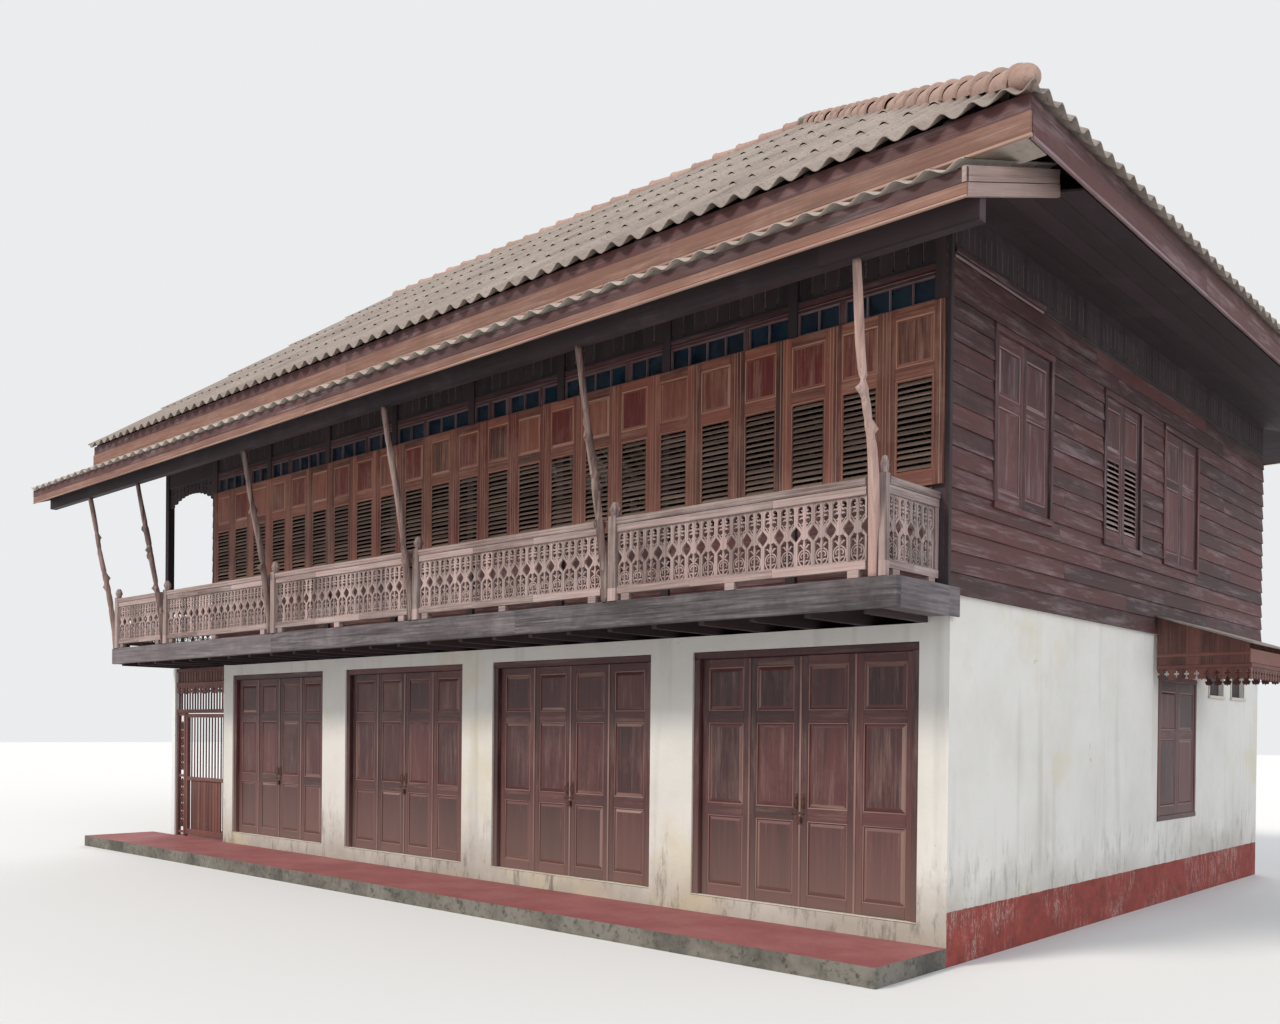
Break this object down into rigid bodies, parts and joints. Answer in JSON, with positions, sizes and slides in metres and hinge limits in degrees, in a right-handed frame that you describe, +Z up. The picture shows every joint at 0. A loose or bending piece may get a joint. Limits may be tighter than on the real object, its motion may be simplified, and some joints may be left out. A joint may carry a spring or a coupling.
{
  "type": "two-storey wooden house",
  "caption": "Two-storey timber house on a masonry ground storey, with a fretwork balcony on branch struts, a lean-to roof and a hipped tiled roof.",
  "frame": {"origin": "at ground level, the centre of the house footprint on the underside of its foundation", "axes": "+X along the front to the right, +Y from the front to the back, +Z up"},
  "size_m": [16.3936, 11.9856, 10.3722],
  "materials": {
    "masonry": "lime-washed plaster",
    "concrete": "red cement screed",
    "dark_wood": "oiled hardwood",
    "weathered_wood": "weathered bare hardwood",
    "shutter_wood": "worn oiled hardwood",
    "door_wood": "worn dark stain",
    "roof_tile": "weathered cement tile",
    "clay_tile": "weathered clay",
    "sheet": "corrugated roofing sheet",
    "white_paint": "white paint",
    "iron": "rusty forged iron",
    "glass": "old window glass"
  },
  "bodies": {
    "house": {"back_board_wall": "dark_wood", "back_masonry_wall": "masonry", "balcony_beam": "weathered_wood", "balcony_newels": "weathered_wood", "balcony_rails": "weathered_wood", "branch_struts": "weathered_wood", "canopy_frame": "dark_wood", "canopy_sheet": "sheet", "door_frames": "door_wood", "eave_soffit": "dark_wood", "floor_joists": "dark_wood", "folding_doors": "door_wood", "foundation": "masonry", "fretwork_panels": "weathered_wood", "front_lintel": "masonry", "front_piers": "masonry", "front_shutters": "shutter_wood", "front_sill_wall": "dark_wood", "front_vent_boards": "dark_wood", "front_walkway": "concrete", "gable_wall": "dark_wood", "gate_hinges": "iron", "leanto_fascia": "dark_wood", "leanto_purlin": "dark_wood", "leanto_rafters": "dark_wood", "leanto_sheet": "sheet", "left_board_wall": "dark_wood", "left_masonry_wall": "masonry", "main_fascia": "dark_wood", "passage_floor": "concrete", "passage_posts": "white_paint", "passage_screen": "door_wood", "porch_head": "dark_wood", "porch_railing": "weathered_wood", "rafters": "dark_wood", "ridge_and_hip_tiles": "clay_tile", "right_board_wall": "dark_wood", "right_masonry_wall": "masonry", "roof_back": "roof_tile", "roof_front": "roof_tile", "roof_right": "roof_tile", "side_vent_boards": "dark_wood", "transom_frames": "dark_wood", "transom_glass": "glass", "upper_floor": "dark_wood", "vent_panels": "dark_wood", "wall_plates": "dark_wood", "wall_posts": "dark_wood", "window_frames": "dark_wood", "window_shutters": "dark_wood"},
    "gate": {"passage_gate": "door_wood"}
  },
  "joints": [
    {"name": "gate_hinge", "type": "hinge", "parent": "house", "child": "gate", "pos_m": [-5.167, -4.408, 1], "axis": [0, 0, -1], "range_deg": [0, 90]}
  ]
}
